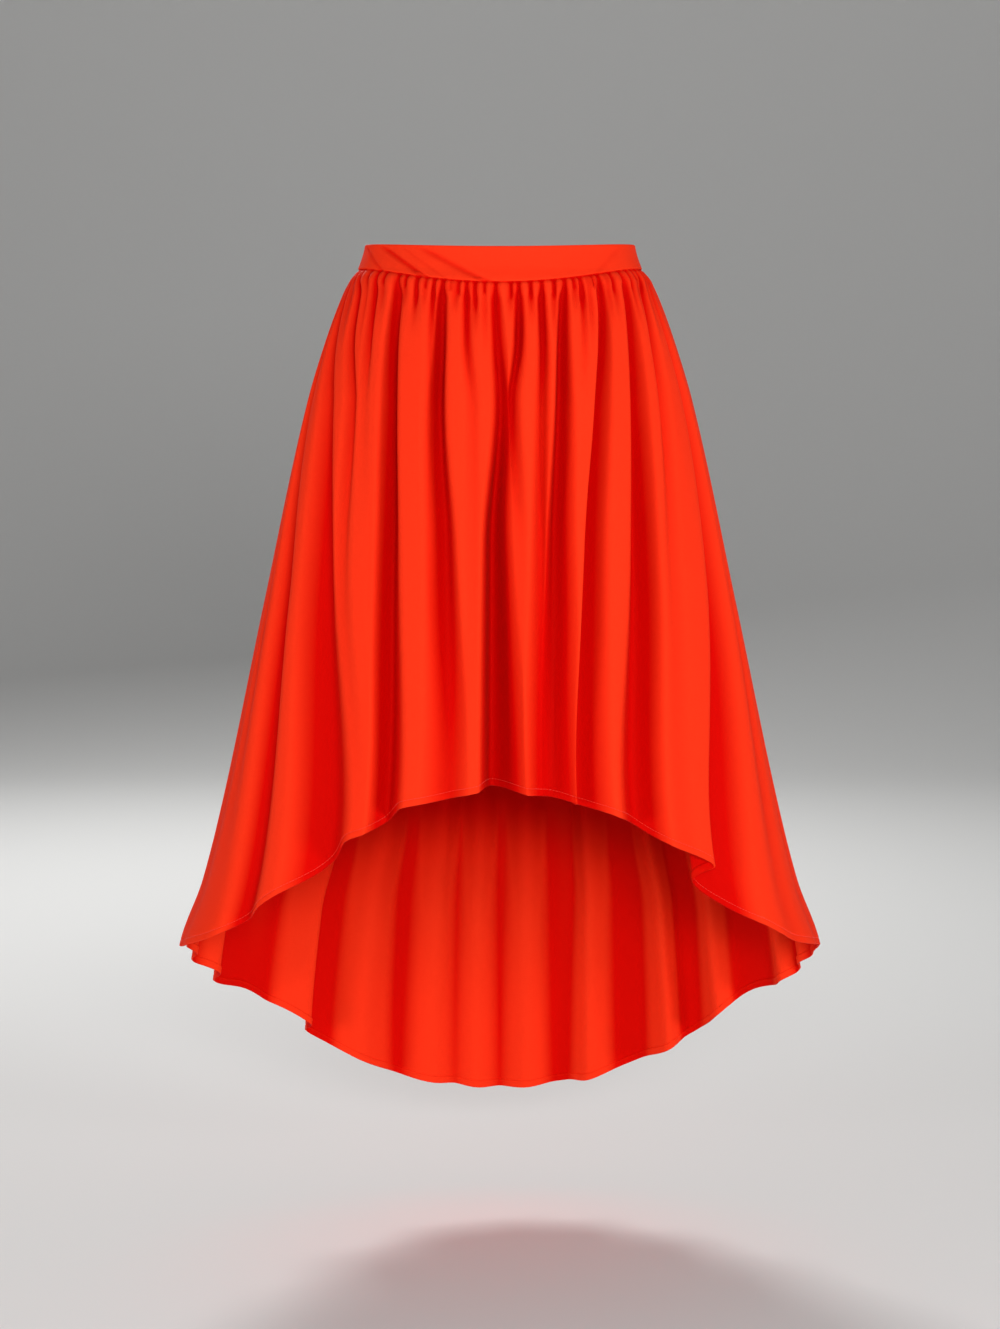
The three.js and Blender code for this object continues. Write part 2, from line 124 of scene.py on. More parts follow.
# Main folds: the valley's bearing and depth at six heights from the seam to the hem, half its
# width on either side, at the seam and at the hem, its lean, which is how far its bottom shifts
# towards +bearing for each millimetre of depth, and how crisp its two edges are, from 0 to 1
FOLD_HEIGHTS = [0, 0.045, 0.12, 0.24, 0.52, 1]


def fold(bearing, depth, left, right, lean, crisp=(0, 0)):
    return {"bearing": bearing, "depth": depth, "left": left, "right": right, "lean": lean, "crisp": crisp}


FRONT_FOLDS = [
    fold(
        [-87, -85.5, -83, -79, -67, -57], [1, 4, 8, 13, 17, 20],
        left=(9, 20), right=(9, 26), lean=-0.2, crisp=(0, 0.5),
    ),
    fold(
        [-80, -78, -72, -62, -51, -38.5], [1.4, 7, 11, 15, 21, 26],
        left=(7, 36), right=(7, 42), lean=0.15, crisp=(0.5, 0),
    ),
    fold(
        [-71.5, -63, -58, -49, -42.5, -30], [1.4, 9, 13, 12, 5, 1],
        left=(6.5, 14), right=(6.5, 16), lean=0, crisp=(0.3, 0.3),
    ),
    fold(
        [-55, -51.5, -48, -43, -35.5, -26.5], [1.4, 9, 10, 2, 0, 0],
        left=(6, 10), right=(6, 10), lean=0, crisp=(0.5, 0.5),
    ),
    fold(
        [-41.5, -39.3, -37.4, -34.2, -29, -23.8], [1.4, 11, 18, 24, 28, 28],
        left=(6.5, 15), right=(7, 19), lean=-0.1, crisp=(1, 0.7),
    ),
    fold(
        [-24.5, -24, -22.5, -20.5, -17.5, -13.5], [1.4, 6, 5, 2, 0, 0],
        left=(5, 10), right=(5, 10), lean=0, crisp=(0, 0),
    ),
    fold(
        [-21, -20.5, -19.5, -18.5, -14, -10.5], [1.4, 10, 18, 24, 24, 14],
        left=(6, 28), right=(6.5, 20), lean=0, crisp=(0.5, 0.6),
    ),
    fold(
        [-12, -11.5, -10.5, -8, -7, -6], [1.4, 8, 9, 5, 2, 0],
        left=(5.5, 12), right=(5.5, 12), lean=0, crisp=(0.3, 0.3),
    ),
    fold(
        [-1.7, -1.5, -1, 0, -2.4, -2.2], [1.4, 8, 12, 22, 38, 44],
        left=(6, 9), right=(6, 40), lean=0, crisp=(1, 0.5),
    ),
    fold(
        [6.5, 6.5, 6, 3.6, 4.5, 4], [1.4, 9, 16, 16, 4, 0],
        left=(6, 14), right=(6, 14), lean=0, crisp=(0.5, 0.5),
    ),
    fold(
        [15, 14.5, 14, 12.5, 10.5, 8.5], [1.4, 10, 13, 13, 14, 14],
        left=(5.5, 20), right=(5.5, 14), lean=0, crisp=(0.3, 0.3),
    ),
    fold(
        [24, 22.5, 20.5, 18.5, 14.5, 11.5], [1.4, 11, 18, 24, 28, 26],
        left=(6, 24), right=(6, 28), lean=0, crisp=(0.3, 0.6),
    ),
    fold(
        [30.5, 30, 28, 25, 19.5, 14.5], [1.4, 6, 4, 0, 0, 0],
        left=(5, 8), right=(5, 8), lean=0, crisp=(0, 0),
    ),
    fold(
        [39.5, 38.5, 35.5, 30.5, 23, 17.5], [1.4, 11, 17, 22, 26, 26],
        left=(6, 8), right=(7, 28), lean=-0.2, crisp=(1, 0.6),
    ),
    fold(
        [54, 52.5, 49, 44.5, 37.5, 28.5], [1.4, 11, 17, 24, 30, 28],
        left=(6.5, 20), right=(7, 32), lean=0.2, crisp=(0.4, 0.6),
    ),
    fold(
        [69, 65, 60.5, 56, 47.5, 39], [1.4, 9, 11, 9, 4, 2],
        left=(6, 16), right=(6, 16), lean=0, crisp=(0.3, 0.3),
    ),
    fold(
        [80, 76, 74, 73, 66.5, 50], [1.4, 6, 9, 15, 26, 32],
        left=(7, 16), right=(8, 32), lean=-0.9, crisp=(0.8, 0),
    ),
]
BACK_FOLDS = [
    fold(
        [94, 95, 96, 98, 101, 104], [1.2, 2, 3, 5, 8, 9],
        left=(7, 20), right=(7, 22), lean=0,
    ),
    fold(
        [101, 103, 105.5, 108, 111, 113], [1.4, 4, 5, 7, 13, 18],
        left=(7, 16), right=(7, 32), lean=-0.3, crisp=(0.7, 0.3),
    ),
    fold(
        [112, 115, 119, 124, 131, 134.5], [1.4, 4.5, 6, 10, 18, 23],
        left=(7, 18), right=(7, 30), lean=-0.4, crisp=(0.7, 0.5),
    ),
    fold(
        [125, 128, 133, 138, 145.5, 147], [1.4, 5, 7, 12, 20, 26],
        left=(7, 14), right=(7, 30), lean=-0.4, crisp=(0.9, 0.5),
    ),
    fold(
        [138, 141, 145.5, 150.5, 158.5, 162.5], [1.4, 5, 7, 12, 18, 21],
        left=(7, 27), right=(7, 28), lean=0, crisp=(0.5, 0.5),
    ),
    fold(
        [150, 152, 155, 159, 165, 168], [1.4, 4, 5, 5, 1, 0],
        left=(7, 14), right=(7, 14), lean=0,
    ),
    fold(
        [163, 164.5, 167, 169.5, 173.5, 175], [1.4, 4, 6, 9, 14, 16],
        left=(7, 30), right=(7, 32), lean=0, crisp=(0.5, 0.5),
    ),
    fold(
        [177, 178, 179.5, 181.5, 184, 184.5], [1.4, 4.5, 6, 9, 14, 15],
        left=(7, 28), right=(7, 28), lean=0, crisp=(0.5, 0.4),
    ),
    fold(
        [191, 190.5, 190, 191, 192.5, 193], [1.4, 4.5, 6, 10, 14, 16],
        left=(7, 32), right=(7, 34), lean=0, crisp=(0.4, 0.5),
    ),
    fold(
        [206, 205, 204, 204, 205.5, 207.5], [1.4, 5, 7, 14, 20, 22],
        left=(7, 44), right=(7, 32), lean=0, crisp=(0.6, 0.8),
    ),
    fold(
        [220, 220, 219.5, 219, 219, 222], [1.4, 5, 7, 13, 21, 27],
        left=(7, 14), right=(7, 35), lean=-0.4, crisp=(0.9, 0.8),
    ),
    fold(
        [235, 234, 232.5, 231.5, 231.5, 233], [1.4, 4.5, 6, 7, 5, 0],
        left=(7, 20), right=(7, 22), lean=0, crisp=(0, 0.3),
    ),
    fold(
        [249, 248, 247, 246, 247, 250], [1.4, 4.5, 6, 10, 14, 18],
        left=(7, 18), right=(7, 28), lean=-0.3, crisp=(0.6, 0.4),
    ),
    fold(
        [260, 259.5, 259, 259, 259.5, 261], [1.4, 3, 4, 6, 8, 9],
        left=(7, 20), right=(7, 22), lean=0,
    ),
    fold(
        [266, 266, 266, 266, 266, 266], [1.2, 2, 3, 4, 4, 4],
        left=(7, 14), right=(7, 14), lean=0,
    ),
]
# Where two folds meet, the shallower one adds this share of its depth
MERGED_DEPTH = 0.35

# Gathers between the folds: the bearing at the seam, the greatest depth in millimetres, and
# the share of the panel's length down to which each reaches
FRONT_GATHERS = [
    (-84, 2, 0.12), (-75.5, 3, 0.16), (-62, 3.5, 0.18), (-49.5, 3, 0.1), (-37.5, 3, 0.08),
    (-32, 4, 0.12), (-28, 2.5, 0.08), (-16, 3, 0.08), (-9, 4, 0.13), (-5.5, 3, 0.16),
    (3.5, 3, 0.09), (11, 3.5, 0.1), (20, 3.5, 0.14), (28, 3, 0.08), (34, 3.5, 0.16),
    (43.5, 3, 0.12), (47, 3.5, 0.1), (60, 3.5, 0.12), (64.5, 3, 0.1), (74.5, 3, 0.14),
    (84, 2, 0.12),
]
BACK_GATHERS = [
    (94, 2, 0.1), (102.5, 3, 0.12), (111.5, 3.5, 0.1), (116.5, 3, 0.14), (125.5, 3.5, 0.13),
    (129.5, 3, 0.09), (138.5, 3.5, 0.14), (143, 3, 0.1), (151.5, 3.5, 0.12), (156.5, 3, 0.15),
    (165.5, 3, 0.1), (170.5, 3.5, 0.13), (180.5, 3, 0.15), (185.5, 3.5, 0.1), (196, 3.5, 0.14),
    (201, 3, 0.1), (210.5, 3.5, 0.12), (215.5, 3, 0.14), (225, 3.5, 0.1), (230, 3, 0.15),
    (240, 3.5, 0.12), (245, 3, 0.1), (256, 3, 0.13), (266, 2, 0.1),
]
# Half a gather's width, the share of its depth that it has at the seam, and the share of its
# reach at which it is deepest
GATHER_HALF_WIDTH = 6
GATHER_AT_SEAM = 0.4
GATHER_PEAK = 0.35

# Nips right under the band: the bearing at the seam, depth and reach in millimetres
FRONT_NIPS = [
    (-80, 2.1, 22), (-76, 1.8, 16), (-69.5, 2.9, 40), (-62, 2.3, 20), (-55, 3.1, 30),
    (-49.5, 2.9, 15), (-41.5, 3.4, 30), (-37.4, 2.9, 14), (-32, 4.2, 40), (-28, 1.8, 12),
    (-24.5, 2.6, 24), (-21, 3.4, 26), (-18, 1.8, 12), (-14.9, 3.1, 18), (-12, 3.1, 26),
    (-8.9, 3.9, 38), (-5.5, 2.1, 14), (-1.5, 3.4, 26), (4, 3.4, 20), (6.7, 3.1, 26),
    (11, 3.1, 22), (15.2, 3.4, 26), (20, 3.4, 24), (24.2, 3.4, 26), (27.9, 2.3, 14),
    (30.9, 3.9, 38), (36.5, 2.9, 16), (39.7, 3.4, 30), (46.8, 3.4, 24), (53.7, 3.4, 28),
    (59.5, 3.1, 24), (65, 1.8, 12), (70, 2.9, 30), (76, 2.1, 18), (83, 2.1, 24),
]
# Half a nip's width, how far under the seam it is deepest, and the share that it has at the seam
NIP_HALF_WIDTH = 3.4
NIP_PEAK = 9
NIP_AT_SEAM = 0.5

# The back's nips are placed evenly, and then moved by chance by up to this many degrees
BACK_NIPS_COUNT = 46
BACK_NIP_WANDER = 1
BACK_NIP_DEPTHS = (1.1, 2.0)
BACK_NIP_REACHES = (20, 46)
SEED = 7

# How finely the folds are drawn, and how they are eased after that. The run at the hips, at this
# share of the length, and the run of the hem together say how the columns are spread
FINE_POINTS_TO_A_FOLD = 56
EASING_PASSES = 24
EASING_KEPT = 0.5
HIP_SHARE = 0.19

# The rings of a panel: some at set distances under the seam, two of them up inside the band,
# some at set distances over the hem, in millimetres, and the rest at even shares between them
UNDER_SEAM = [-4, -1.2, 0, 0.8, 1.8, 3, 4.5, 6.2, 8, 10, 12.5, 15.5, 19, 23, 27.5, 32.5, 38, 44, 51, 59]
OVER_HEM = [30, 20, 14, 10.5, 8.4, 7.4, 6.8, 6.2, 5.6, 4.6, 3.2, 1.8, 0.8, 0.25, 0]
MIDDLE_RINGS = 68
PANEL_COLUMNS = 400


def between(rows, key, value, at):
    """A smooth value between rows sorted by the key, with flat ends."""
    return smooth_between([row[key] for row in rows], [row[value] for row in rows], at)


def smooth_between(places, values, at):
    """A smooth value at a place in a list of places and their values, with flat ends."""
    places = np.asarray(places, float)
    values = np.asarray(values, float)
    steps = np.diff(values) / np.diff(places)
    product = steps[:-1] * steps[1:]
    rising = product > 0
    slopes = np.zeros(len(places))
    slopes[1:-1] = np.where(rising, 2 * product / np.where(rising, steps[:-1] + steps[1:], 1), 0)
    at = np.clip(at, places[0], places[-1])
    i = np.clip(np.searchsorted(places, at, side="right") - 1, 0, len(places) - 2)
    span = places[i + 1] - places[i]
    t = (at - places[i]) / span
    rise = values[i + 1] - values[i]
    first = slopes[i] * span
    second = slopes[i + 1] * span
    return values[i] + t * first + t**2 * (3 * rise - 2 * first - second) + t**3 * (first + second - 2 * rise)


def hem_z(bearing):
    return between(HEM, "bearing", "z", bearing)


def seam_z(bearing):
    facing = np.cos(bearing * DEGREE)
    front_dip = SEAM_DIP_FRONT * np.maximum(facing, 0) ** 3
    return SEAM_Z - front_dip - SEAM_DIP_BACK * np.minimum(facing, 0) ** 2


def band_top_z(bearing):
    return BAND_TOP_Z - BAND_TOP_DIP * np.maximum(0, np.cos(bearing * DEGREE)) ** 2


def outline_points(bearing, z):
    """Points of the unfolded outline, the level directions in and along it, and the run of a degree."""
    sine = np.sin(bearing * DEGREE)
    cosine = np.cos(bearing * DEGREE)
    side = between(OUTLINE, "z", "side", z)
    front = between(OUTLINE, "z", "front", z)
    back = between(OUTLINE, "z", "back", z)
    reach = np.where(cosine > 0, front, back)
    point = np.stack([side * sine, -reach * cosine, z + 0 * sine], axis=-1)
    inward = unit(np.stack([-sine / side, cosine / reach, 0 * sine], axis=-1))
    along = unit(np.stack([side * cosine, reach * sine, 0 * sine], axis=-1))
    return point, inward, along, np.hypot(side * cosine, reach * sine) * DEGREE


def unit(vectors):
    return vectors / np.linalg.norm(vectors, axis=-1, keepdims=True)


def hump(x):
    return np.where(np.abs(x) >= 1, 0, 0.5 + 0.5 * np.cos(np.pi * np.clip(x, -1, 1)))


def half_round(x):
    return np.cos(np.pi / 2 * np.clip(x, -1, 1))


def fold_lines(folds, start, end):
    """A function that gives the bearing of each line down a panel, at a share of its length."""
    sides = [[edge] * len(FOLD_HEIGHTS) for edge in (start, end)]
    fences = [sides[0], *(valley["bearing"] for valley in folds), sides[1]]
    count = (len(fences) - 1) * FINE_POINTS_TO_A_FOLD + 1
    place = np.arange(count) / FINE_POINTS_TO_A_FOLD
    index = np.minimum(place.astype(int), len(fences) - 2)

    def bearing(share):
        share = np.broadcast_to(share, np.broadcast_shapes(np.shape(share), (count,)))
        at_fences = np.stack([smooth_between(FOLD_HEIGHTS, fence, share) for fence in fences])
        columns = np.arange(count)
        if share.ndim == 1:
            left = at_fences[index, columns]
            right = at_fences[index + 1, columns]
        else:
            left = at_fences[index, :, columns].T
            right = at_fences[index + 1, :, columns].T
        return left + (right - left) * (place - index)

    return bearing


def pushed(bearing, seam_bearing, share, per_degree, folds, gathers):
    """How deep the folds and gathers push each point in, and how far they shift it sideways."""
    depth = np.zeros_like(bearing)
    shift = np.zeros_like(bearing)
    for valley in folds:
        away = (bearing - smooth_between(FOLD_HEIGHTS, valley["bearing"], share)) * per_degree
        left, right = (np.interp(share, [0, 1], valley[side]) for side in ("left", "right"))
        across = away / np.where(away < 0, left, right)
        crisp = np.where(away < 0, *valley["crisp"])
        profile = hump(across) * (1 - crisp) + half_round(across) * crisp
        here = smooth_between(FOLD_HEIGHTS, valley["depth"], share) * profile
        depth = np.maximum(depth, here) + MERGED_DEPTH * np.minimum(depth, here)
        shift = shift + here * valley["lean"] * share
    for place, deepest, reach in gathers:
        away = (seam_bearing - place) * per_degree
        peak = reach * GATHER_PEAK
        rise = GATHER_AT_SEAM + (1 - GATHER_AT_SEAM) * np.clip(share / peak, 0, 1)
        fade = np.where(share < peak, 1, hump((share - peak) / (reach - peak)))
        depth = np.maximum(depth, deepest * rise * fade * hump(away / GATHER_HALF_WIDTH))
    return depth, shift


def eased(rows, passes):
    for _ in range(passes):
        middle = (1 - EASING_KEPT) / 2 * (rows[:, :-2] + rows[:, 2:]) + EASING_KEPT * rows[:, 1:-1]
        rows = np.concatenate([rows[:, :1], middle, rows[:, -1:]], axis=1)
    return rows


def travelled(row):
    """How far along its own length each point of a row lies, from 0 to 1."""
    sums = np.concatenate([[0], np.cumsum(np.linalg.norm(np.diff(row, axis=0), axis=1))])
    return sums / sums[-1]


def ring_shares(length):
    """The share of its length at which each line meets each ring."""
    top = [distance / length for distance in UNDER_SEAM]
    low = [1 - distance / length for distance in OVER_HEM]
    even = (np.arange(MIDDLE_RINGS) + 1) / (MIDDLE_RINGS + 1)
    middle = [top[-1] + (low[0] - top[-1]) * share for share in even]
    return np.stack([*top, *middle, *low])


def grid_normals(points):
    """Outward directions of a grid whose rows run down and whose columns run towards +bearing."""
    down = np.gradient(points, axis=0)
    sideways = np.gradient(points, axis=1)
    return unit(np.cross(down, sideways))


class Panel:
    """One gathered skirt panel: its outer grid in millimetres, with what the details need."""

    def __init__(self, folds, gathers, start, end):
        bearing_at = fold_lines(folds, start, end)
        seam_bearing = bearing_at(0.0)
        top = seam_z(seam_bearing) - SEAM_GAP / 2
        length = top - hem_z(bearing_at(1.0))
        share = ring_shares(length)
        z = top - share * length
        edge_run = outline_points(np.full_like(z, start), z)[3]
        wanted = bearing_at(share)
        bearing = wanted + SEAM_GAP / 2 / edge_run * (1 - 2 * (wanted - start) / (end - start))
        point, inward, along, per_degree = outline_points(bearing, z)
        depth, shift = pushed(bearing, seam_bearing, share, per_degree, folds, gathers)
        depth = np.where(share < 0, IN_BAND_DEPTH, depth)
        fine = point + inward * depth[..., None] + along * shift[..., None]
        fine = eased(fine, EASING_PASSES)
        hip = int(np.argmin(np.abs(share[:, len(length) // 2] - HIP_SHARE)))
        run = (travelled(fine[hip]) + travelled(fine[-1])) / 2
        wanted_run = np.linspace(0, 1, PANEL_COLUMNS)
        index = np.interp(wanted_run, run, np.arange(len(run)))
        self.points = self.pick(fine, index)
        self.depth = self.pick(depth[..., None], index)[..., 0]
        self.seam_bearing = np.interp(index, np.arange(len(run)), seam_bearing)
        self.length = np.interp(index, np.arange(len(run)), length)
        self.per_degree = self.pick(per_degree[..., None], index)[..., 0]
        self.share = ring_shares(self.length)
        self.under_seam = self.share * self.length
        self.over_hem = (1 - self.share) * self.length
        hem_run = np.linalg.norm(np.diff(self.points[-1], axis=0), axis=1).sum()
        self.across = wanted_run * hem_run
        self.hem_run = hem_run

    @staticmethod
    def pick(rows, index):
        low = np.minimum(index.astype(int), rows.shape[1] - 2)
        part = (index - low)[None, :, None]
        return rows[:, low] * (1 - part) + rows[:, low + 1] * part

    def push(self, depth):
        """Moves the grid in by a depth at each point, square to the cloth, but not inside the band."""
        depth = np.where(self.under_seam < 0, 0, depth)
        # The depth that sets the painted shade, where a small pinch counts for more
        self.depth = self.depth + np.maximum(depth, 0) * FINE_FOLD_WEIGHT
        self.points = self.points - grid_normals(self.points) * depth[..., None]


def nips(panel, table):
    """The small pinches right under the band, deepest a little below it."""
    depth = np.zeros_like(panel.share)
    below = panel.under_seam
    for place, deepest, reach in table:
        away = (panel.seam_bearing - place) * panel.per_degree
        rise = NIP_AT_SEAM + (1 - NIP_AT_SEAM) * np.clip(below / NIP_PEAK, 0, 1)
        fade = np.where(below < NIP_PEAK, 1, hump((below - NIP_PEAK) / (reach - NIP_PEAK)))
        depth = np.maximum(depth, deepest * rise * fade * hump(away / NIP_HALF_WIDTH))
    return depth


def back_nips():
    """The back's pinches are nearly even, because the elastic draws them up."""
    chance = np.random.default_rng(SEED)
    start, end = BACK_SPAN
    places = start + (end - start) * (np.arange(BACK_NIPS_COUNT) + 0.5) / BACK_NIPS_COUNT
    places = places + chance.uniform(-BACK_NIP_WANDER, BACK_NIP_WANDER, BACK_NIPS_COUNT)
    depths = chance.uniform(*BACK_NIP_DEPTHS, BACK_NIPS_COUNT)
    reaches = chance.uniform(*BACK_NIP_REACHES, BACK_NIPS_COUNT)
    return list(zip(places, depths, reaches))


# Where the cloth comes out from under the band it puffs out, and it tucks in at the seam
PUFF_HEIGHT = 16
PUFF = 0.9
PUFF_FREE_OF_SIDE = 12
TUCK = 1.1
TUCK_HEIGHT = 2.6


def puffed(panel):
    below = panel.under_seam
    from_side = np.minimum(panel.across, panel.hem_run - panel.across)
    edge = np.minimum(1, from_side / PUFF_FREE_OF_SIDE)
    puff = PUFF * np.sin(np.pi * np.clip(below / PUFF_HEIGHT, 0, 1)) * edge
    return TUCK * hump(below / TUCK_HEIGHT) - puff


# Long slack ripples in the cloth between its folds, each with chance values between two limits:
# its place across the hem, its middle and its reach down the panel and its drift to one side, as
# shares, then half its width and its depth in millimetres
RIPPLES = 26
RIPPLE_PLACE = (0.04, 0.96)
RIPPLE_MIDDLE = (0.25, 0.85)
RIPPLE_REACH = (0.15, 0.4)
RIPPLE_SLANT = (-0.06, 0.06)
RIPPLE_HALF = (9, 22)
RIPPLE_DEPTH = 0.8


def rippled(panel, seed):
    chance = np.random.default_rng(seed)
    depth = np.zeros_like(panel.share)
    for _ in range(RIPPLES):
        centre = chance.uniform(*RIPPLE_PLACE) * panel.hem_run
        middle = chance.uniform(*RIPPLE_MIDDLE)
        reach = chance.uniform(*RIPPLE_REACH)
        slant = chance.uniform(*RIPPLE_SLANT)
        half = chance.uniform(*RIPPLE_HALF)
        away = panel.across - centre - slant * (panel.share - middle) * panel.length
        amount = chance.uniform(-RIPPLE_DEPTH, RIPPLE_DEPTH)
        depth += amount * hump(away / half) * hump((panel.share - middle) / reach)
    return depth


# Shallow slack folds beside the side seams: the place across the hem from 0 to 1, how far it
# drifts per length, the share of the length at its middle, its reach, half its width and its
# depth in millimetres
FRONT_SLACK = [
    (0.02, -0.02, 0.8, 0.5, 16, 2.6),
    (0.052, 0.03, 0.62, 0.4, 14, 2.2),
    (0.845, -0.04, 0.75, 0.45, 18, 2.4),
    (0.895, -0.05, 0.9, 0.55, 20, 4.6),
    (0.94, -0.03, 0.72, 0.6, 17, 3.4),
    (0.978, 0.0, 0.85, 0.5, 14, 2.8),
]
BACK_SLACK = [
    (0.022, 0.02, 0.82, 0.5, 16, 3.2),
    (0.048, 0.03, 0.68, 0.5, 15, 2.6),
    (0.952, -0.02, 0.8, 0.5, 16, 2.8),
    (0.982, 0.0, 0.7, 0.45, 13, 2.4),
]


def slack(panel, table):
    depth = np.zeros_like(panel.share)
    for place, drift, middle, reach, half, deepest in table:
        away = panel.across - place * panel.hem_run - drift * (panel.share - 1) * panel.length
        depth = np.maximum(depth, deepest * hump(away / half) * hump((panel.share - middle) / reach))
    return depth


# The turned hem: its stitched line draws the cloth in, and the edge waves slightly
HEM_TURNING = 7.0
TURNING_STEP = 0.6
HEM_EDGE_ROUND = 0.5
HEM_STITCH_HEIGHT = 6.2
HEM_GROOVE = 0.35
HEM_GROOVE_HALF = 1.4
HEM_PUCKER = 0.16
HEM_PUCKER_PITCH = 9.0
HEM_PUCKER_DRIFT = 23


def hemmed(panel):
    above = panel.over_hem
    groove = HEM_GROOVE * hump((above - HEM_STITCH_HEIGHT) / HEM_GROOVE_HALF)
    drift = np.sin(panel.across / HEM_PUCKER_DRIFT)
    pucker = HEM_PUCKER * np.sin(2 * np.pi * panel.across / HEM_PUCKER_PITCH + drift)
    return groove + pucker * hump(above / (2 * HEM_TURNING))


def wall_mesh(name, outer, inner, across, downs, shade, rounded=0.0):
    """A closed shell from an outer and an inner grid in millimetres, with a rounded lower edge."""
    rows, columns = outer.shape[:2]
    edge = (outer[-1] + inner[-1]) / 2
    edge[:, 2] -= rounded
    layers = [*outer, edge, *inner[::-1]]
    points = np.concatenate(layers) * MM
    total = len(layers)
    index = np.arange(total * columns).reshape(total, columns)
    following = np.roll(index, -1, axis=0)
    strips = np.stack([index[:, :-1], following[:, :-1], following[:, 1:], index[:, 1:]], axis=-1)
    faces = strips.reshape(-1, 4).tolist()
    for column, turn in ((0, 1), (columns - 1, -1)):
        for row in range(rows - 1):
            other = total - 1 - row
            quad = [index[place, column] for place in (row, other, other - 1, row + 1)]
            faces.append([int(v) for v in quad][::turn])
        tip = [index[place, column] for place in (rows - 1, rows + 1, rows)]
        faces.append([int(v) for v in tip][::turn])
    mesh = bpy.data.meshes.new(name)
    mesh.from_pydata(points.tolist(), [], faces)
    u = np.broadcast_to(across, (total, columns)) * MM
    distances = [*downs, downs[-1] + rounded, *downs[::-1]]
    v = -np.stack([np.broadcast_to(row, columns) for row in distances]) * MM
    uv = np.stack([u, v], axis=-1).reshape(-1, 2)
    corner = np.empty(len(mesh.loops), int)
    mesh.loops.foreach_get("vertex_index", corner)
    layer = mesh.uv_layers.new(name="cloth")
    layer.data.foreach_set("uv", uv[corner].astype(np.float32).ravel())
    # Painted shade for each point, kept as an attribute: the given shade on the outer face; on the inner face
    # the outer crests get painted shade, and high inside all of it
    painted_shade_attribute = mesh.attributes.new("painted_fold_shade", "FLOAT", "POINT")
    crest = np.clip(1 - INNER_SHADE_SHARPNESS * shade[::-1], 0, 1)
    deep = np.interp(inner[::-1, :, 2], INNER_DEEP_HEIGHTS, (0, 1)) ** INNER_DEEP_FADE
    inner_shade = np.maximum(INNER_SHADE * crest**INNER_SHADE_FADE, deep)
    shades = np.concatenate([shade, shade[-1:], inner_shade])
    painted_shade_attribute.data.foreach_set("value", shades.astype(np.float32).ravel())
    mesh.polygons.foreach_set("use_smooth", [True] * len(mesh.polygons))
    mesh.update()
    return mesh


def new_piece(name, mesh, material):
    piece = bpy.data.objects.new(name, mesh)
    bpy.context.scene.collection.objects.link(piece)
    mesh.materials.append(material)
    return piece


def facing_out(mesh):
    """Checks that a closed mesh encloses a positive volume, and turns it if not."""
    shape = bmesh.new()
    shape.from_mesh(mesh)
    if shape.calc_volume(signed=True) < 0:
        bmesh.ops.reverse_faces(shape, faces=shape.faces)
        shape.to_mesh(mesh)
    shape.free()


class Signal:
    """A shader socket that can be used in arithmetic; each operator adds its Math node."""

    def __init__(self, tree, socket):
        self.tree = tree
        self.socket = socket

    def math(self, operation, first, second=0.0):
        return self.tree.node("ShaderNodeMath", {"operation": operation}, {0: first, 1: second})[0]

    def __add__(self, other):
        return self.math("ADD", self, other)

    def __radd__(self, other):
        return self.math("ADD", other, self)

    def __sub__(self, other):
        return self.math("SUBTRACT", self, other)

    def __rsub__(self, other):
        return self.math("SUBTRACT", other, self)

    def __mul__(self, other):
        return self.math("MULTIPLY", self, other)

    def __rmul__(self, other):
        return self.math("MULTIPLY", other, self)

    def sine(self):
        return self.math("SINE", self)


class Finish:
    """A material's node tree, with one method that makes any node."""

    def __init__(self, name):
        self.material = bpy.data.materials.new(name)
        self.material.use_nodes = True
        self.nodes = self.material.node_tree.nodes
        self.links = self.material.node_tree.links
        self.nodes.clear()

    def node(self, kind, settings=None, inputs=None):
        made = self.nodes.new(kind)
        for key, value in (settings or {}).items():
            setattr(made, key, value)
        for key, value in (inputs or {}).items():
            if isinstance(value, Signal):
                self.links.new(value.socket, made.inputs[key])
            else:
                made.inputs[key].default_value = value
        return [Signal(self, socket) for socket in made.outputs]

    def finish(self, shader):
        output = self.nodes.new("ShaderNodeOutputMaterial")
        self.links.new(shader.socket, output.inputs["Surface"])
        return self.material


# How deep in a fold, in millimetres, the cloth gets its full painted shade, a darker red painted
# into its colour for the shade in the folds: at the seam, and from a height under it downwards.
# Deeper still, the painted shade goes on to its darkest. A small pinch counts for more than its depth.
FULL_SHADE_AT_SEAM = 2.8
FULL_SHADE = 16
FULL_SHADE_HEIGHT = 130
FINE_FOLD_WEIGHT = 1.5
DEEPEST_SHADE = 1.7
BAND_FULL_SHADE = 3

# Inside the skirt the crests are its folds' valleys, so the painted shade is turned round there:
# the outer crests get painted shade. High inside, where light only comes from cloth to cloth, a
# deeper red is painted for that shade: none of it at the first of two heights in millimetres, all
# at the second
INNER_SHADE = 0.98
INNER_SHADE_SHARPNESS = 1.3
INNER_SHADE_FADE = 2
INNER_DEEP_HEIGHTS = (-725, -582)
INNER_DEEP_FADE = 1.5

# The cloth's colours, roughness and weave
RED = (0.8, 0.028, 0.007, 1)
RED_THIN_YARN = (0.76, 0.022, 0.005, 1)
RED_THICK_YARN = (0.84, 0.036, 0.009, 1)
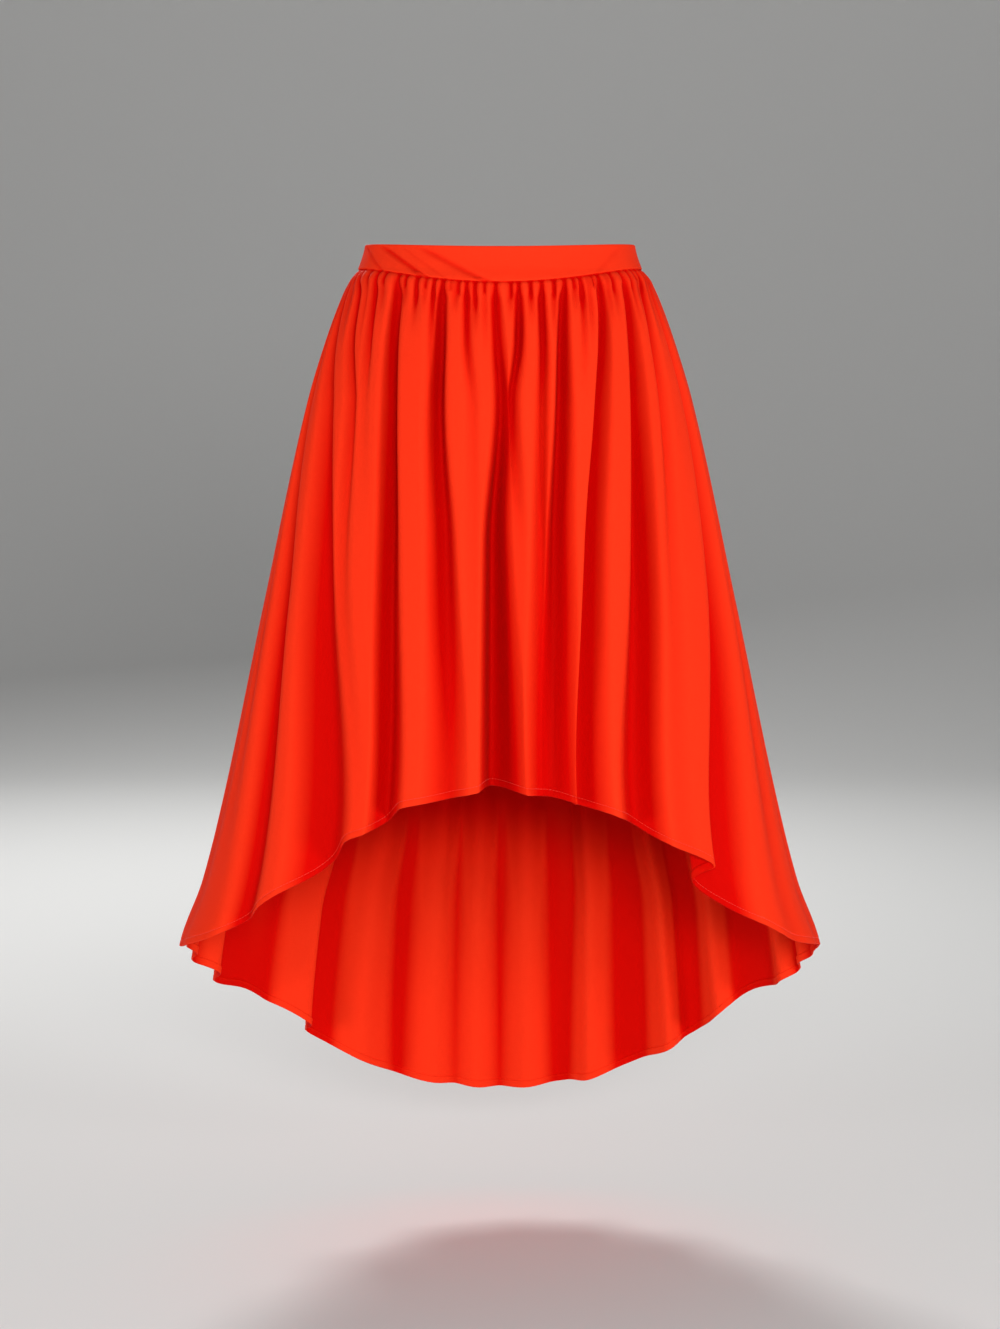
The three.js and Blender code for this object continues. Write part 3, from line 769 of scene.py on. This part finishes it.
# Painted shade: the darker reds painted into the cloth's colour in its folds, darkest in the deepest
RED_PAINTED_SHADE = (0.58, 0.001, 0.0005, 1)
RED_PAINTED_DEEPEST_SHADE = (0.52, 0.0006, 0.0004, 1)
YARN_PITCH = 0.00042
YARN_BUMP = 0.0002
BUMP_STRENGTH = 0.35
SLUB_LENGTH = 0.012
SLUB_SLIMNESS = 8
CLOUD_SCALE = 14.0
PLAINEST_CLOUD = 0.25
CLOUD_SHARE = 0.5
WEAVE_BUMP_SHARE = 0.6
SLUB_BUMP_SHARE = 0.8
CLOTH_ROUGHNESS = 0.52
SLUB_ROUGHNESS = 0.14
THREAD_ROUGHNESS = 0.42
TWIST_ROUGHNESS = 0.2
TWIST_SCALE = 2400.0


# Which output is used of a node that has several
OBJECT_PLACE = 3
ATTRIBUTE_VALUE = 2
MIXED_COLOUR = 2


def slubs(finish, uv, lengthwise, sideways):
    """Uneven thickness of the yarns that run one way, from 0 to 1."""
    scale = (lengthwise, sideways, 1)
    stretched = finish.node("ShaderNodeMapping", {}, {"Vector": uv, "Scale": scale})[0]
    inputs = {"Vector": stretched, "Scale": 1.0, "Detail": 3.0}
    return finish.node("ShaderNodeTexNoise", {"noise_dimensions": "2D"}, inputs)[0]


def mixed(finish, share, first, second):
    """A colour between two, at a share from 0 to 1; a Mix node's colours are its inputs 6 and 7."""
    inputs = {0: share, 6: first, 7: second}
    return finish.node("ShaderNodeMix", {"data_type": "RGBA"}, inputs)[MIXED_COLOUR]


def cloth_finish(name):
    finish = Finish(name)
    uv = finish.node("ShaderNodeUVMap", {"uv_map": "cloth"})[0]
    split = finish.node("ShaderNodeSeparateXYZ", {}, {"Vector": uv})
    place = finish.node("ShaderNodeTexCoord")[OBJECT_PLACE]
    warp = (split[0] * (2 * math.pi / YARN_PITCH)).sine()
    weft = (split[1] * (2 * math.pi / YARN_PITCH)).sine()
    weave = (warp * weft) * 0.5 + 0.5
    weft_slubs = slubs(finish, uv, 1 / SLUB_LENGTH, SLUB_SLIMNESS / SLUB_LENGTH)
    warp_slubs = slubs(finish, uv, SLUB_SLIMNESS / SLUB_LENGTH, 1 / SLUB_LENGTH)
    clouds = {"Vector": place, "Scale": CLOUD_SCALE, "Detail": 2.0}
    cloudy = finish.node("ShaderNodeTexNoise", {}, clouds)[0]
    tone = (weft_slubs + warp_slubs) * 0.5
    yarns = mixed(finish, tone, RED_THIN_YARN, RED_THICK_YARN)
    dyed = mixed(finish, cloudy * CLOUD_SHARE + PLAINEST_CLOUD, yarns, RED)
    # Painted shade: the colour turns to darker reds as the attribute says the cloth lies deeper in a fold
    painted_shade_attribute = finish.node("ShaderNodeAttribute", {"attribute_name": "painted_fold_shade"})[ATTRIBUTE_VALUE]
    shaded = mixed(finish, painted_shade_attribute, dyed, RED_PAINTED_SHADE)
    beyond = (painted_shade_attribute - 1) * (1 / (DEEPEST_SHADE - 1))
    colour = mixed(finish, beyond, shaded, RED_PAINTED_DEEPEST_SHADE)
    roughness = CLOTH_ROUGHNESS + tone * SLUB_ROUGHNESS
    height = weave * WEAVE_BUMP_SHARE + tone * SLUB_BUMP_SHARE
    bump = {"Strength": BUMP_STRENGTH, "Distance": YARN_BUMP, "Height": height}
    normal = finish.node("ShaderNodeBump", {}, bump)[0]
    shader = finish.node(
        "ShaderNodeBsdfPrincipled",
        {},
        {
            "Base Color": colour,
            "Roughness": roughness,
            "Normal": normal,
            "Sheen Weight": 0.05,
            "Sheen Roughness": 0.4,
            "Sheen Tint": (1.0, 0.15, 0.06, 1),
            "Specular IOR Level": 0.03,
            "Specular Tint": (1.0, 0.6, 0.3, 1),
        },
    )[0]
    return finish.finish(shader)


def thread_finish():
    finish = Finish("sewing_thread")
    place = finish.node("ShaderNodeTexCoord")[OBJECT_PLACE]
    turns = {"Vector": place, "Scale": TWIST_SCALE, "Detail": 1.0}
    twist = finish.node("ShaderNodeTexNoise", {}, turns)[0]
    colour = mixed(finish, twist, RED_THIN_YARN, RED)
    roughness = THREAD_ROUGHNESS + twist * TWIST_ROUGHNESS
    inputs = {"Base Color": colour, "Roughness": roughness, "Sheen Weight": 0.1}
    shader = finish.node("ShaderNodeBsdfPrincipled", {}, inputs)[0]
    return finish.finish(shader)


# The waistband
BAND_ROWS = 22
BAND_FRONT_COLUMNS = 260
RUCHES = 34
RUCHE_DEPTH = 1.4
RUCHE_SIDE_FADE = 8
BAND_BACK_COLUMNS = 340
BAND_EDGE_ROUND = 1.2
BAND_EDGE_DROP = 0.6
CREASE_THINS_BAND = 0.5
# Slanting creases: their bearings at the band's top and bottom, depth and half width
BAND_CREASES = [
    {"top": -61, "bottom": -30, "depth": 2.6, "half": 9},
    {"top": -80, "bottom": -54, "depth": 1.4, "half": 7},
    {"top": -37, "bottom": -5, "depth": 1.8, "half": 11},
    {"top": -47, "bottom": -20, "depth": 0.7, "half": 4},
    {"top": 62, "bottom": 40, "depth": 0.5, "half": 9},
]
BAND_CREASE_START = 0.25


def creased(bearing, share, per_degree):
    depth = np.zeros_like(bearing)
    for crease in BAND_CREASES:
        line = crease["top"] + (crease["bottom"] - crease["top"]) * share
        depth = np.maximum(depth, crease["depth"] * hump((bearing - line) * per_degree / crease["half"]))
    return depth * np.clip(share / BAND_CREASE_START, 0, 1)


def ruched(bearing, share, per_degree):
    start, end = BACK_SPAN
    turn = (bearing - start) / (end - start) * RUCHES
    fade = np.clip(np.minimum(bearing - start, end - bearing) / RUCHE_SIDE_FADE, 0, 1)
    return RUCHE_DEPTH * fade * (0.5 - 0.5 * np.cos(2 * np.pi * turn))


def band_half(name, start, end, columns, pressed, material):
    share = ((1 - np.cos(np.pi * np.linspace(0, 1, BAND_ROWS))) / 2)[:, None]
    even = np.linspace(start, end, columns)[None, :]
    top = band_top_z(even)
    bottom = seam_z(even) + SEAM_GAP / 2
    z = top + (bottom - top) * share
    edge_run = outline_points(np.full_like(z, start), z)[3]
    bearing = even + SEAM_GAP / 2 / edge_run * (1 - 2 * (even - start) / (end - start))
    point, inward, along, per_degree = outline_points(bearing, z)
    depth = pressed(bearing, share + 0 * bearing, per_degree)
    height = (top - bottom) * share
    from_edge = np.minimum(height, top - bottom - height)
    rounding = BAND_EDGE_ROUND * np.clip(1 - from_edge / BAND_EDGE_ROUND, 0, 1) ** 2 * BAND_EDGE_DROP
    outer = point + inward * (depth + rounding)[..., None]
    thickness = BAND_THICK - 2 * rounding - depth * CREASE_THINS_BAND
    inner = outer - grid_normals(outer) * thickness[..., None]
    inner[0, :, 2] = outer[0, :, 2]
    inner[-1, :, 2] = outer[-1, :, 2]
    inner[:, 0, 1] = outer[:, 0, 1]
    inner[:, -1, 1] = outer[:, -1, 1]
    across = np.concatenate([[0], np.cumsum(np.linalg.norm(np.diff(outer[0], axis=0), axis=1))])
    # The creases' depth sets their painted shade
    mesh = wall_mesh(name, outer, inner, across, list(height), np.clip(depth / BAND_FULL_SHADE, 0, 1))
    facing_out(mesh)
    return new_piece(name, mesh, material)


def skirt_panel(name, panel, nip_table, slack_table, seed, material):
    """A panel's cloth with its small forms pushed in, one after the other."""
    panel.push(nips(panel, nip_table))
    panel.push(puffed(panel))
    panel.push(rippled(panel, seed))
    panel.push(slack(panel, slack_table))
    panel.push(hemmed(panel))
    outer = panel.points
    turned = np.clip((HEM_TURNING - panel.over_hem) / TURNING_STEP + 0.5, 0, 1)
    thick = CLOTH_THICK + (HEM_THICK - CLOTH_THICK) * turned
    inner = outer - grid_normals(outer) * thick[..., None]
    inner[0, :, 2] = outer[0, :, 2]
    inner[:, 0, 1] = outer[:, 0, 1]
    inner[:, -1, 1] = outer[:, -1, 1]
    # Painted shade from how deep the folds push each point in
    full = np.interp(panel.under_seam, [0, FULL_SHADE_HEIGHT], [FULL_SHADE_AT_SEAM, FULL_SHADE])
    shade = np.clip(panel.depth / full, 0, DEEPEST_SHADE)
    downs = list(panel.under_seam)
    mesh = wall_mesh(name, outer, inner, panel.across, downs, shade, rounded=HEM_EDGE_ROUND)
    facing_out(mesh)
    return new_piece(name, mesh, material)


# The side seams' allowances are pressed open inside the skirt, and the band's inside it
ALLOWANCE = 9.0
ALLOWANCE_THICK = 0.5
ALLOWANCE_GAP = 0.12
ALLOWANCE_COLUMNS = 5
BAND_EDGE_CLEAR = 1.6


def allowance(name, panel, side, material):
    """One panel's seam allowance at its first or last edge: it lies on the panel's inner face."""
    turn = 1 if side == "first" else -1
    distance = panel.across if side == "first" else panel.hem_run - panel.across[::-1]
    points = panel.points[:, ::turn]
    normals = grid_normals(panel.points)[:, ::turn]
    wanted = np.linspace(0, ALLOWANCE, ALLOWANCE_COLUMNS)
    index = np.interp(wanted, distance, np.arange(len(distance)))
    rows = panel.under_seam[:, 0] > 0
    face = Panel.pick(points, index)[rows]
    square = unit(Panel.pick(normals, index)[rows])
    outer = face - square * (HEM_THICK + ALLOWANCE_GAP)
    inner = outer - square * ALLOWANCE_THICK
    for layer in (outer, inner):
        layer[:, 0, 1] = 0
    outer, inner = outer[:, ::turn], inner[:, ::turn]
    downs = list(panel.under_seam[rows, 0])
    mesh = wall_mesh(name, outer, inner, wanted, downs, np.zeros(outer.shape[:2]))
    facing_out(mesh)
    return new_piece(name, mesh, material)


def band_allowance(name, middle, material):
    """The pressed seam allowances inside the band at one side seam, as one flat strip."""
    edge_run = outline_points(np.array([middle]), np.array([0.0]))[3][0]
    share = np.linspace(0, 1, ALLOWANCE_COLUMNS)[:, None]
    away = np.linspace(-1, 1, ALLOWANCE_COLUMNS)[None, :] * ALLOWANCE
    bearing = middle + away / edge_run + 0 * share
    top = band_top_z(bearing) - BAND_EDGE_CLEAR
    bottom = seam_z(bearing) + BAND_EDGE_CLEAR
    point, inward = outline_points(bearing, top + (bottom - top) * share)[:2]
    outer = point + inward * (BAND_THICK + ALLOWANCE_GAP)
    inner = outer + inward * ALLOWANCE_THICK
    across = (bearing[0] - bearing[0, 0]) * edge_run
    mesh = wall_mesh(name, outer, inner, across, list((top - bottom) * share), np.zeros(outer.shape[:2]))
    facing_out(mesh)
    return new_piece(name, mesh, material)


def stitch_tree(thread):
    """Geometry nodes that lay a row of stitches along a curve."""
    tree = bpy.data.node_groups.new("row_of_stitches", "GeometryNodeTree")
    face = tree.interface
    face.new_socket("Geometry", in_out="INPUT", socket_type="NodeSocketGeometry")
    for label in ("Stitch Pitch", "Stitch Length", "Thread Thickness"):
        face.new_socket(label, in_out="INPUT", socket_type="NodeSocketFloat")
    face.new_socket("Geometry", in_out="OUTPUT", socket_type="NodeSocketGeometry")
    inputs = tree.nodes.new("NodeGroupInput")
    points = tree.nodes.new("GeometryNodeCurveToPoints")
    points.mode = "LENGTH"
    stitch = tree.nodes.new("GeometryNodeMeshUVSphere")
    stitch.inputs["Segments"].default_value = 6
    stitch.inputs["Rings"].default_value = 4
    stitch.inputs["Radius"].default_value = 0.5
    size = tree.nodes.new("ShaderNodeCombineXYZ")
    lay = tree.nodes.new("GeometryNodeInstanceOnPoints")
    real = tree.nodes.new("GeometryNodeRealizeInstances")
    paint = tree.nodes.new("GeometryNodeSetMaterial")
    paint.inputs["Material"].default_value = thread
    result = tree.nodes.new("NodeGroupOutput")
    link = tree.links.new
    link(inputs.outputs["Geometry"], points.inputs["Curve"])
    link(inputs.outputs["Stitch Pitch"], points.inputs["Length"])
    link(inputs.outputs["Thread Thickness"], size.inputs["X"])
    link(inputs.outputs["Thread Thickness"], size.inputs["Y"])
    link(inputs.outputs["Stitch Length"], size.inputs["Z"])
    link(points.outputs["Points"], lay.inputs["Points"])
    link(stitch.outputs["Mesh"], lay.inputs["Instance"])
    link(points.outputs["Rotation"], lay.inputs["Rotation"])
    link(size.outputs["Vector"], lay.inputs["Scale"])
    link(lay.outputs["Instances"], real.inputs["Geometry"])
    link(real.outputs["Geometry"], paint.inputs["Geometry"])
    link(paint.outputs["Geometry"], result.inputs["Geometry"])
    return tree


# One stitch's sizes in metres, and how far it stands off the cloth in millimetres
STITCH = {"Stitch Pitch": 0.0032, "Stitch Length": 0.0026, "Thread Thickness": 0.0005}
THREAD_PROUD = 0.1


def stitch_row(name, path, tree):
    """A row of stitches along a path in millimetres, as one plain mesh."""
    curve = bpy.data.curves.new(name + "_path", "CURVE")
    curve.dimensions = "3D"
    spline = curve.splines.new("POLY")
    spline.points.add(len(path) - 1)
    spaced = np.concatenate([path * MM, np.ones((len(path), 1))], axis=1)
    spline.points.foreach_set("co", spaced.ravel())
    line = bpy.data.objects.new(name + "_path", curve)
    bpy.context.scene.collection.objects.link(line)
    modifier = line.modifiers.new("stitches", "NODES")
    modifier.node_group = tree
    for item in tree.interface.items_tree:
        if item.in_out == "INPUT" and item.name in STITCH:
            modifier[item.identifier] = STITCH[item.name]
    evaluated = line.evaluated_get(bpy.context.evaluated_depsgraph_get())
    mesh = bpy.data.meshes.new_from_object(evaluated)
    mesh.name = name
    bpy.data.objects.remove(line)
    bpy.data.curves.remove(curve)
    mesh.polygons.foreach_set("use_smooth", [True] * len(mesh.polygons))
    piece = bpy.data.objects.new(name, mesh)
    bpy.context.scene.collection.objects.link(piece)
    return piece


def hem_line(panel):
    """The line of the hem's stitches on a panel's outer face."""
    normals = grid_normals(panel.points)
    path = []
    for column in range(panel.points.shape[1]):
        over = panel.over_hem[:, column]
        row = np.interp(-HEM_STITCH_HEIGHT, -over, np.arange(len(over)))
        low = int(min(row, len(over) - 2))
        part = row - low
        point = panel.points[low, column] * (1 - part) + panel.points[low + 1, column] * part
        path.append(point + normals[low, column] * THREAD_PROUD)
    return np.array(path)


# The camera stands where the curves of the band and the hems place it, and looks slightly down.
# At its distance from the waist a pixel of the photograph is a millimetre
EYE_DISTANCE = 2.6
EYE_HEIGHT = -0.138
FRAME_LONG_PIXELS = 1329
MIDDLE_ROW = 664.5
EYE_ROW = 400
SENSOR = 36


def place_camera():
    tilt = math.atan((MIDDLE_ROW - EYE_ROW) * MM / EYE_DISTANCE)
    camera = bpy.data.objects.new("camera", bpy.data.cameras.new("camera"))
    bpy.context.scene.collection.objects.link(camera)
    camera.location = (0, -EYE_DISTANCE, EYE_HEIGHT)
    camera.rotation_euler = (math.pi / 2 - tilt, 0, 0)
    camera.data.sensor_width = SENSOR
    camera.data.lens = SENSOR * EYE_DISTANCE * math.cos(tilt) / (FRAME_LONG_PIXELS * MM)
    camera.data.clip_start = 0.05
    camera.data.clip_end = 200
    bpy.context.scene.camera = camera


# The pale floor runs back to a curve and up into a backdrop, in metres
FLOOR_Z = -1.03
FLOOR_HALF = 12
FLOOR_FRONT = -6
BACKDROP_Y = 6
BACKDROP_CURVE = 2.5
BACKDROP_TOP = 9
CURVE_STEPS = 24
FLOOR_GREY = (0.72, 0.72, 0.71, 1)


def place_floor():
    turns = np.linspace(0, math.pi / 2, CURVE_STEPS)
    run = BACKDROP_Y - BACKDROP_CURVE * (1 - np.sin(turns))
    rise = FLOOR_Z + BACKDROP_CURVE * (1 - np.cos(turns))
    curve = list(zip(run.tolist(), rise.tolist()))
    line = [(FLOOR_FRONT, FLOOR_Z), *curve, (BACKDROP_Y, BACKDROP_TOP)]
    mesh = bpy.data.meshes.new("floor")
    points = [(x, y, z) for y, z in line for x in (-FLOOR_HALF, FLOOR_HALF)]
    faces = [(2 * i, 2 * i + 1, 2 * i + 3, 2 * i + 2) for i in range(len(line) - 1)]
    mesh.from_pydata(points, [], faces)
    mesh.polygons.foreach_set("use_smooth", [True] * len(faces))
    finish = Finish("pale_floor")
    inputs = {"Base Color": FLOOR_GREY, "Roughness": 0.9}
    shader = finish.node("ShaderNodeBsdfPrincipled", {}, inputs)[0]
    floor = new_piece("floor", mesh, finish.finish(shader))


# The soft lights all face the middle of the skirt; metres and watts
LIGHTS_AIM = (0, 0, -0.45)
LIGHTS = [
    {"name": "front_softbox", "place": (0.35, -3.3, 0.2), "size": (1.0, 0.5), "power": 73},
    {"name": "right_softbox", "place": (2.9, -1.9, -0.25), "size": (1.2, 1.2), "power": 49},
    {"name": "left_softbox", "place": (-2.9, -1.9, -0.45), "size": (1.2, 1.2), "power": 41},
    {"name": "back_softbox", "place": (-0.7, 2.9, 1.5), "size": (1.3, 0.8), "power": 80},
]
ROOM_GREY = (0.8, 0.8, 0.8, 1)
ROOM_STRENGTH = 0.25


def area_light(name, place, size, power):
    light = bpy.data.lights.new(name, "AREA")
    light.shape = "RECTANGLE"
    light.size, light.size_y = size
    light.energy = power
    lamp = bpy.data.objects.new(name, light)
    lamp.location = place
    lamp.rotation_euler = (Vector(LIGHTS_AIM) - Vector(place)).to_track_quat("-Z", "Y").to_euler()
    bpy.context.scene.collection.objects.link(lamp)


def place_lights():
    for light in LIGHTS:
        area_light(**light)
    world = bpy.data.worlds.new("studio")
    world.use_nodes = True
    background = world.node_tree.nodes["Background"]
    background.inputs["Color"].default_value = ROOM_GREY
    background.inputs["Strength"].default_value = ROOM_STRENGTH
    bpy.context.scene.world = world
    bpy.context.scene.view_settings.view_transform = "Standard"


skirt_cloth = cloth_finish("skirt_cloth")
band_cloth = cloth_finish("band_cloth")
thread = thread_finish()

front = Panel(FRONT_FOLDS, FRONT_GATHERS, *FRONT_SPAN)
back = Panel(BACK_FOLDS, BACK_GATHERS, *BACK_SPAN)
skirt_front = skirt_panel("skirt_front_cloth", front, FRONT_NIPS, FRONT_SLACK, SEED, skirt_cloth)
skirt_back = skirt_panel("skirt_back_cloth", back, back_nips(), BACK_SLACK, SEED + 1, skirt_cloth)
band_front = band_half("waistband_front_cloth", *FRONT_SPAN, BAND_FRONT_COLUMNS, creased, band_cloth)
band_back = band_half("waistband_back_cloth", *BACK_SPAN, BAND_BACK_COLUMNS, ruched, band_cloth)

allowances = [
    allowance("side_allowance_front_left", front, "first", skirt_cloth),
    allowance("side_allowance_front_right", front, "last", skirt_cloth),
    allowance("side_allowance_back_right", back, "first", skirt_cloth),
    allowance("side_allowance_back_left", back, "last", skirt_cloth),
]
band_allowances = [
    band_allowance("band_allowance_right", BACK_SPAN[0], band_cloth),
    band_allowance("band_allowance_left", BACK_SPAN[1], band_cloth),
]

stitches = stitch_tree(thread)
hem_front = stitch_row("hem_stitches_front", hem_line(front), stitches)
hem_back = stitch_row("hem_stitches_back", hem_line(back), stitches)

for piece, node, name in (
    (skirt_front, "skirt_front", "skirt_cloth"),
    (skirt_back, "skirt_back", "skirt_cloth"),
    (band_front, "waistband_front", "band_cloth"),
    (band_back, "waistband_back", "band_cloth"),
):
    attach(piece, "root")
    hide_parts(node)
for piece in (hem_front, hem_back):
    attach(piece, "root")
for piece in allowances:
    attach(piece, "root")
for piece in band_allowances:
    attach(piece, "root")

place_camera()
place_floor()
place_lights()
